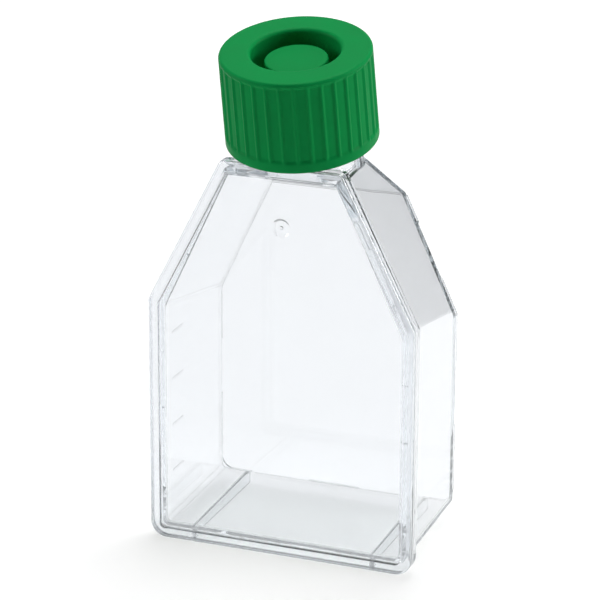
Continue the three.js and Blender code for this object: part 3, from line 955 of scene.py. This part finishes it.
def moulded_surface():
    """Node group: the fine grain and the slow flow that moulding leaves in a plastic face."""
    group = bpy.data.node_groups.get("Moulded surface")
    if group:
        return group
    group = bpy.data.node_groups.new("Moulded surface", "ShaderNodeTree")
    sockets = group.interface
    sockets.new_socket("Coordinates", in_out="INPUT", socket_type="NodeSocketVector")
    for name in ("Grain scale", "Flow scale", "Rough low", "Rough high"):
        sockets.new_socket(name, in_out="INPUT", socket_type="NodeSocketFloat")
    for name in ("Grain", "Flow", "Roughness"):
        sockets.new_socket(name, in_out="OUTPUT", socket_type="NodeSocketFloat")
    wire = Wiring(group)
    given = wire.add("NodeGroupInput").outputs
    grain = wire.add("ShaderNodeTexNoise", {
        "Vector": given["Coordinates"], "Scale": given["Grain scale"], "Detail": 3.0})
    flow = wire.add("ShaderNodeTexNoise", {
        "Vector": given["Coordinates"], "Scale": given["Flow scale"], "Detail": 2.0,
        "Distortion": 0.4})
    roughness = wire.add("ShaderNodeMapRange", {
        "Value": flow.outputs["Fac"], "From Min": 0.3, "From Max": 0.7,
        "To Min": given["Rough low"], "To Max": given["Rough high"]})
    wire.add("NodeGroupOutput", {
        "Grain": grain.outputs["Fac"], "Flow": flow.outputs["Fac"],
        "Roughness": roughness.outputs["Result"]})
    return group


def new_material(name):
    material = bpy.data.materials.new(name)
    material.use_nodes = True
    material.node_tree.nodes.clear()
    return material, Wiring(material.node_tree)


def surface_nodes(wire, flow_scale, roughness, grain_scale=0.0):
    """The moulded surface on a piece, with its least and its greatest roughness."""
    place = wire.add("ShaderNodeTexCoord").outputs["Object"]
    given = {
        "Coordinates": place, "Grain scale": grain_scale, "Flow scale": flow_scale,
        "Rough low": roughness[0], "Rough high": roughness[1]}
    return wire.add("ShaderNodeGroup", given, node_tree=moulded_surface()).outputs


def calculated(wire, operation, *values):
    node = wire.add("ShaderNodeMath", dict(enumerate(values)), operation=operation)
    return node.outputs[0]


def mixed_colour(wire, factor, low, high):
    """A colour between two others, which a mix node takes at its inputs 6 and 7."""
    mix = wire.add("ShaderNodeMix", {"Factor": factor, 6: low, 7: high}, data_type="RGBA")
    return mix.outputs[2]


# How steeply a face turns light away as it comes in flatter.
GLANCING_POWER = 5.0


def clear_plastic(name, finish, ripple_scale=28.0, ripple=0.05):
    """Clear plastic with a faint ripple in its faces and the shadow of a tinted pane."""
    material, wire = new_material(name)
    surface = surface_nodes(wire, ripple_scale, roughness=(0.0, 0.035))
    bump = wire.add("ShaderNodeBump", {
        "Height": surface["Flow"], "Strength": ripple, "Distance": 0.0005})
    plastic = wire.add("ShaderNodeBsdfPrincipled", {
        "Base Color": (*finish.clear, 1), "Transmission Weight": 1.0, "IOR": finish.index,
        "Roughness": surface["Roughness"], "Normal": bump.outputs["Normal"]})
    facing = wire.add("ShaderNodeLayerWeight", {"Blend": 0.5}).outputs["Facing"]
    glancing = calculated(wire, "POWER", facing, GLANCING_POWER)
    passed = mixed_colour(wire, glancing, (*finish.shade, 1), BLACK)
    pane = wire.add("ShaderNodeBsdfTransparent", {"Color": passed})
    path = wire.add("ShaderNodeLightPath")
    mixed = wire.add("ShaderNodeMixShader", {
        0: path.outputs["Is Shadow Ray"], 1: plastic.outputs["BSDF"],
        2: pane.outputs["BSDF"]})
    thick = wire.add("ShaderNodeVolumeAbsorption", {
        "Color": (*finish.depth, 1), "Density": finish.density})
    wire.add("ShaderNodeOutputMaterial", {
        "Surface": mixed.outputs["Shader"], "Volume": thick.outputs["Volume"]})
    return material


def opaque_plastic(name, base, drift, grain_scale, roughness, specular):
    """Moulded plastic with a fine grain, whose colour drifts between two shares of its base."""
    material, wire = new_material(name)
    surface = surface_nodes(wire, 160.0, roughness, grain_scale)
    dark, light = ((*(part * factor for part in base), 1) for factor in drift)
    tint = mixed_colour(wire, surface["Flow"], dark, light)
    bump = wire.add("ShaderNodeBump", {
        "Height": surface["Grain"], "Strength": 0.12, "Distance": 0.0001})
    plastic = wire.add("ShaderNodeBsdfPrincipled", {
        "Base Color": tint, "Roughness": surface["Roughness"],
        "Specular IOR Level": specular, "Normal": bump.outputs["Normal"]})
    wire.add("ShaderNodeOutputMaterial", {"Surface": plastic.outputs["BSDF"]})
    return material


def cap_plastic(finish):
    return opaque_plastic(
        "Green cap plastic", finish.green, drift=(0.93, 1.07), grain_scale=2600.0,
        roughness=(0.38, 0.48), specular=0.04)


def seal_plastic(finish):
    return opaque_plastic(
        "White seal", finish.seal, drift=(0.95, 1), grain_scale=1800.0,
        roughness=(0.5, 0.62), specular=0.4)


# ---- Stage ----

# The rims of the clear plastic pass light on by many inner reflections.
LIGHT_BOUNCES = 64
# From the foot down to the floor, in metres, so that the two don't share a face.
FLOOR_DROP = 0.0002
# Each soft lamp's place, the height that it aims at and its width, in metres.
LAMPS = {
    "Top lamp": ((0.0, 0.2, 0.88), 0.05, 0.7),
    "Left lamp": ((-0.88, -0.34, 0.32), 0.06, 0.45),
    "Right lamp": ((0.88, 0.34, 0.32), 0.06, 0.45),
}


def seen_in_plastic(wire):
    """One for mirrored and refracted rays, zero for the others."""
    path = wire.add("ShaderNodeLightPath").outputs
    return calculated(wire, "MAXIMUM", path["Is Glossy Ray"], path["Is Transmission Ray"])


def seen_by_camera(wire):
    return wire.add("ShaderNodeLightPath").outputs["Is Camera Ray"]


def floor_material(stage):
    """White floor: a share glows by itself, more of it far off, and the rest is lit."""
    material, wire = new_material("Pale floor")
    seen = calculated(wire, "MAXIMUM", seen_in_plastic(wire), seen_by_camera(wire))
    glow = calculated(wire, "MULTIPLY", seen, stage.floor_glow)
    place = wire.add("ShaderNodeTexCoord").outputs["Object"]
    away = wire.add("ShaderNodeVectorMath", {0: place}, operation="LENGTH").outputs["Value"]
    far = wire.add("ShaderNodeMapRange", {
        "Value": away, "From Min": stage.near_radius, "From Max": stage.floor_radius,
        "To Max": stage.far_glow}).outputs["Result"]
    filled = calculated(wire, "MULTIPLY_ADD", far, seen_by_camera(wire), glow)
    light = wire.add("ShaderNodeEmission", {"Color": WHITE, "Strength": filled})
    white = stage.floor_white
    matt = wire.add("ShaderNodeBsdfDiffuse", {"Color": (white, white, white, 1)})
    both = wire.add("ShaderNodeAddShader", {0: light.outputs[0], 1: matt.outputs[0]})
    wire.add("ShaderNodeOutputMaterial", {"Surface": both.outputs["Shader"]})
    return material


def light_world(stage):
    """Even sky for the lighting, and a darker room with a dark doorway for all reflections."""
    world = bpy.data.worlds.new("Studio")
    bpy.context.scene.world = world
    world.use_nodes = True
    world.node_tree.nodes.clear()
    wire = Wiring(world.node_tree)
    direction = wire.add("ShaderNodeTexCoord").outputs["Generated"]
    height = wire.add("ShaderNodeSeparateXYZ", {"Vector": direction}).outputs["Z"]
    ramp = wire.add("ShaderNodeValToRGB", {"Fac": height})
    # Sine of the height above the floor's edge, and the brightness there.
    rises = (0.0, 0.12, 0.3, 0.55)
    bands = (stage.horizon, stage.horizon, stage.haze, stage.zenith)
    stops = ramp.color_ramp.elements
    for rise in rises[len(stops):]:
        stops.new(rise)
    for stop, rise, brightness in zip(stops, rises, bands):
        stop.position = rise
        stop.color = (brightness, brightness, brightness, 1)
    doorway = (math.sin(stage.doorway_turn), math.cos(stage.doorway_turn), 0.0)
    towards = wire.add(
        "ShaderNodeVectorMath", {0: direction, 1: doorway}, operation="DOT_PRODUCT")
    dimming = wire.add("ShaderNodeMapRange", {
        "Value": towards.outputs["Value"], "From Min": math.cos(stage.doorway_reach),
        "From Max": math.cos(stage.doorway_reach / 2), "To Min": 1.0,
        "To Max": stage.doorway_light})
    room = wire.add("ShaderNodeBackground", {
        "Color": ramp.outputs["Color"], "Strength": dimming.outputs["Result"]})
    sky = wire.add("ShaderNodeBackground", {"Color": WHITE, "Strength": stage.sky})
    backdrop = wire.add("ShaderNodeBackground", {"Color": WHITE, "Strength": 1.0})
    lit = wire.add("ShaderNodeMixShader", {
        0: seen_in_plastic(wire), 1: sky.outputs[0], 2: room.outputs[0]})
    mixed = wire.add("ShaderNodeMixShader", {
        0: seen_by_camera(wire), 1: lit.outputs[0], 2: backdrop.outputs[0]})
    wire.add("ShaderNodeOutputWorld", {"Surface": mixed.outputs[0]})


def add_lamp(name, place, aim, width, power):
    """A round soft lamp that looks down at the flask and doesn't show through clear plastic."""
    deselect_all()
    bpy.ops.object.light_add(type="AREA", location=place)
    lamp = bpy.context.object
    lamp.name = name
    line = Vector((0, 0, aim)) - Vector(place)
    lamp.rotation_euler = line.to_track_quat("-Z", "Y").to_euler()
    lamp.data.shape = "DISK"
    lamp.data.size = width
    lamp.data.energy = power
    lamp.visible_transmission = False


def add_floor(stage):
    deselect_all()
    bpy.ops.mesh.primitive_circle_add(
        vertices=COLUMNS, radius=stage.floor_radius, fill_type="NGON",
        location=(0, 0, -FLOOR_DROP))
    floor = apply_place(bpy.context.object)
    floor.name = "Floor"
    floor.data.materials.append(floor_material(stage))


def place_camera(stage):
    deselect_all()
    bpy.ops.object.camera_add()
    camera = bpy.context.object
    camera.name = "Camera"
    camera.data.lens = stage.lens
    camera.data.clip_end = 10
    turn = Matrix.Rotation(stage.yaw, 4, "Z")
    tilt = Matrix.Rotation(math.pi / 2 - stage.pitch, 4, "X")
    roll = Matrix.Rotation(stage.roll, 4, "Z")
    facing = turn @ tilt @ roll
    away = facing @ Vector((0, 0, stage.distance))
    camera.matrix_world = Matrix.Translation(Vector(stage.target) + away) @ facing
    bpy.context.scene.camera = camera


# ---- Operators and panel ----


class FLASK_OT_stage(bpy.types.Operator):
    """Set up the camera, the pale floor, the sky and the lamps"""

    bl_idname = "flask.stage"
    bl_label = "Stage"

    def execute(self, context):
        stage = context.scene.flask_stage
        context.scene.view_settings.view_transform = "Standard"
        cycles = context.scene.cycles
        cycles.max_bounces = LIGHT_BOUNCES
        cycles.glossy_bounces = LIGHT_BOUNCES
        cycles.transmission_bounces = LIGHT_BOUNCES
        place_camera(stage)
        add_floor(stage)
        light_world(stage)
        for name, lamp in LAMPS.items():
            add_lamp(name, *lamp, getattr(stage, name.lower().replace(" ", "_")))
        return {"FINISHED"}


class FLASK_OT_tub(bpy.types.Operator):
    """Model the clear tub with its flange, ribs, marks and threaded neck"""

    bl_idname = "flask.tub"
    bl_label = "Clear tub"

    def execute(self, context):
        scene = context.scene
        body = model_tub(scene)
        material = clear_plastic("Clear polystyrene", scene.flask_finish)
        finish_piece(body, "flask_body", "flask", material)
        return {"FINISHED"}


class FLASK_OT_front_plate(bpy.types.Operator):
    """Model the clear plate that closes the front of the tub"""

    bl_idname = "flask.front_plate"
    bl_label = "Front plate"

    def execute(self, context):
        scene = context.scene
        plate = model_front_plate(scene)
        material = clear_plastic(
            "Clear polystyrene plate", scene.flask_finish, ripple_scale=22.0, ripple=0.04)
        finish_piece(plate, "front_plate", "flask", material)
        return {"FINISHED"}


class FLASK_OT_cap(bpy.types.Operator):
    """Model the green screw cap with its ribs, ring groove, plug and thread"""

    bl_idname = "flask.cap"
    bl_label = "Screw cap"

    def execute(self, context):
        scene = context.scene
        cap = model_cap(scene)
        material = cap_plastic(scene.flask_finish)
        finish_piece(cap, "screw_cap", "cap", material, smooth_below=60)
        return {"FINISHED"}


class FLASK_OT_sealing_ring(bpy.types.Operator):
    """Model the sealing ring between the neck and the roof of the cap"""

    bl_idname = "flask.sealing_ring"
    bl_label = "Sealing ring"

    def execute(self, context):
        scene = context.scene
        ring = model_sealing_ring(scene)
        material = seal_plastic(scene.flask_finish)
        finish_piece(ring, "sealing_ring", "seal", material, smooth_below=40)
        return {"FINISHED"}


class FLASK_PT_panel(bpy.types.Panel):
    """Lists the sizes and the steps that build the flask"""

    bl_idname = "FLASK_PT_panel"
    bl_label = "Cell culture flask"
    bl_space_type = "VIEW_3D"
    bl_region_type = "UI"
    bl_category = "Flask"

    def draw(self, context):
        for operator in OPERATORS:
            self.layout.operator(operator.bl_idname)
        for name, group in SETTINGS.items():
            box = self.layout.box()
            box.label(text=group.__name__.removeprefix("Flask"))
            for setting in group.__annotations__:
                box.prop(getattr(context.scene, name), setting)


OPERATORS = (
    FLASK_OT_stage,
    FLASK_OT_tub,
    FLASK_OT_front_plate,
    FLASK_OT_cap,
    FLASK_OT_sealing_ring,
)


def register():
    for cls in (*SETTINGS.values(), *OPERATORS, FLASK_PT_panel):
        bpy.utils.register_class(cls)
    for name, group in SETTINGS.items():
        setattr(bpy.types.Scene, name, bpy.props.PointerProperty(type=group))


def unregister():
    for name in SETTINGS:
        delattr(bpy.types.Scene, name)
    for cls in (FLASK_PT_panel, *reversed(OPERATORS), *reversed(SETTINGS.values())):
        bpy.utils.unregister_class(cls)


def main():
    register()
    bpy.ops.flask.stage()
    bpy.ops.flask.tub()
    bpy.ops.flask.front_plate()
    bpy.ops.flask.cap()
    bpy.ops.flask.sealing_ring()


if __name__ == "__main__":
    main()
